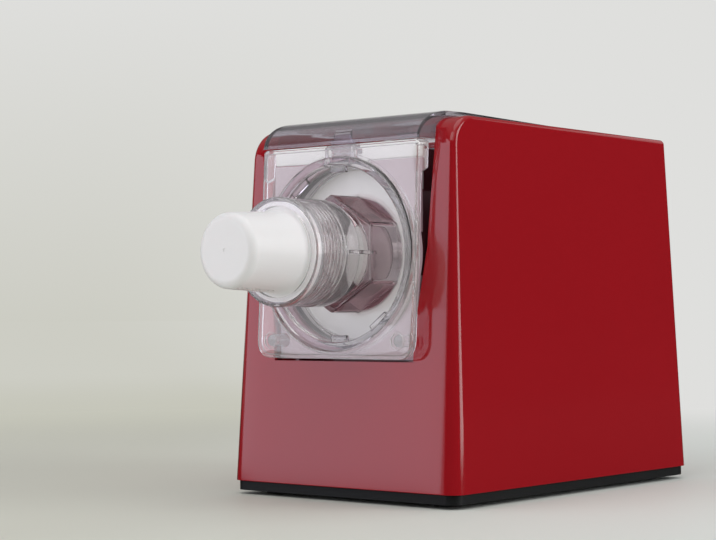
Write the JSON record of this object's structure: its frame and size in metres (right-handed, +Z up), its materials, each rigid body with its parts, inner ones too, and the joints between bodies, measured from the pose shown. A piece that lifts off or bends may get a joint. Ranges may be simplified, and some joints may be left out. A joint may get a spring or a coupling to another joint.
{
  "type": "electric pasta maker",
  "caption": "Electric pasta maker: tapered housing, clear front cover and lid, mixing drum with auger, ring nut and extruding die, geared motor and push buttons.",
  "frame": {"origin": "middle of the whole part's box, on the table", "axes": "+Z up, -Y along the auger's axis out of the die, +X to the right, seen from the front"},
  "size_m": [0.2206, 0.4482, 0.2908],
  "materials": {
    "shell_red": "gloss, deep red",
    "base_black": "matte black",
    "panel_black": "gloss black",
    "foot_rubber": "matte",
    "clear_cover": "clear, polished",
    "clear_lid": "clear, polished",
    "light_pipe": "milky clear",
    "key_red": "satin red",
    "key_grey": "satin grey",
    "die_white": "satin white",
    "drum_pale": "satin pale grey",
    "auger_white": "satin white",
    "seal_grey": "matte",
    "seal_black": "matte",
    "zinc_steel": "zinc plated",
    "shaft_steel": "ground",
    "bronze": "sintered, oiled",
    "nylon": "natural",
    "box_plastic": "glass filled, matte",
    "cast_aluminium": "die cast",
    "lamination": "varnished stack",
    "copper_wire": "enamelled copper",
    "board_green": "solder mask",
    "part_dark": "matte",
    "part_pale": "matte",
    "magnet": "nickel plated"
  },
  "bodies": {
    "housing": {"body_shell": "shell_red", "rear_cover": "shell_red", "base_plate": "base_black", "feet": "foot_rubber", "base_screws": "zinc_steel", "rear_screws": "zinc_steel", "control_panel": "panel_black", "light_pipes": "light_pipe", "control_board": "board_green", "key_switches": "part_dark", "board_screws": "zinc_steel", "power_board": "board_green", "transformer": "part_dark", "capacitor": "part_pale", "terminal_block": "part_pale", "cord_gland": "base_black", "hinge_pins": "shaft_steel", "lid_switch": "part_dark", "mixing_drum": "drum_pale", "shaft_seal": "seal_black", "output_bushes": "bronze", "gear_axles": "shaft_steel", "gear_housing": "box_plastic", "gear_cover": "box_plastic", "gear_screws": "zinc_steel", "motor_front_bell": "cast_aluminium", "motor_rear_bell": "cast_aluminium", "stator": "lamination", "windings": "copper_wire", "motor_bearings": "bronze", "motor_bolts": "zinc_steel", "motor_cradle": "zinc_steel", "cradle_pads": "seal_black"},
    "lid": {"lid": "clear_lid", "lid_magnet": "magnet"},
    "front_cover": {"front_cover": "clear_cover", "cover_seal": "seal_grey"},
    "die": {"die": "die_white", "die_seal": "seal_grey"},
    "ring_nut": {"ring_nut": "clear_cover"},
    "auger": {"auger": "auger_white", "drive_shaft": "shaft_steel", "output_gear": "nylon"},
    "second_gear": {"second_gear": "nylon"},
    "first_gear": {"first_gear": "nylon"},
    "rotor": {"rotor": "lamination", "motor_pinion": "bronze", "cooling_fan": "part_dark"},
    "power_button": {"power_button": "key_red"},
    "start_button": {"start_button": "key_grey"},
    "mix_button": {"mix_button": "key_grey"},
    "press_button": {"press_button": "key_grey"}
  },
  "joints": [
    {"name": "lid_hinge", "type": "hinge", "parent": "housing", "child": "lid", "pos_m": [0, 0.06976, 0.281], "axis": [-1, 0, 0], "range_deg": [0, 95]},
    {"name": "cover_slide", "type": "slide", "parent": "housing", "child": "front_cover", "axis": [0, -1, 0], "range_m": [0, 0.09]},
    {"name": "die_slide", "type": "slide", "parent": "front_cover", "child": "die", "axis": [0, -1, 0], "range_m": [0, 0.0226]},
    {"name": "nut_turn", "type": "hinge", "parent": "die", "child": "ring_nut", "pos_m": [0, -0.15, 0.185], "axis": [0, -1, 0], "range_deg": [0, 2160]},
    {"name": "rotor_turn", "type": "hinge", "parent": "housing", "child": "rotor", "pos_m": [0, 0.1, 0.0791], "axis": [0, 1, 0], "continuous": true},
    {"name": "first_gear_turn", "type": "hinge", "parent": "housing", "child": "first_gear", "pos_m": [0, 0.1, 0.10915], "axis": [0, 1, 0], "continuous": true},
    {"name": "second_gear_turn", "type": "hinge", "parent": "housing", "child": "second_gear", "pos_m": [0, 0.1, 0.14295], "axis": [0, 1, 0], "continuous": true},
    {"name": "auger_turn", "type": "hinge", "parent": "housing", "child": "auger", "pos_m": [0, 0.1, 0.185], "axis": [0, 1, 0], "continuous": true},
    {"name": "power_button_press", "type": "slide", "parent": "housing", "child": "power_button", "axis": [0, 0, -1], "range_m": [0, 0.001], "stiffness_N_per_m": 500, "springref_m": -0.002},
    {"name": "start_button_press", "type": "slide", "parent": "housing", "child": "start_button", "axis": [0, 0, -1], "range_m": [0, 0.001], "stiffness_N_per_m": 500, "springref_m": -0.002},
    {"name": "mix_button_press", "type": "slide", "parent": "housing", "child": "mix_button", "axis": [0, 0, -1], "range_m": [0, 0.001], "stiffness_N_per_m": 500, "springref_m": -0.002},
    {"name": "press_button_press", "type": "slide", "parent": "housing", "child": "press_button", "axis": [0, 0, -1], "range_m": [0, 0.001], "stiffness_N_per_m": 500, "springref_m": -0.002}
  ],
  "couplings": [
    {"joint": "die_slide", "follows": "nut_turn", "m_per_rad": 0.00059683},
    {"joint": "first_gear_turn", "follows": "rotor_turn", "ratio": -0.25},
    {"joint": "second_gear_turn", "follows": "rotor_turn", "ratio": 0.071429},
    {"joint": "auger_turn", "follows": "rotor_turn", "ratio": -0.02381}
  ]
}
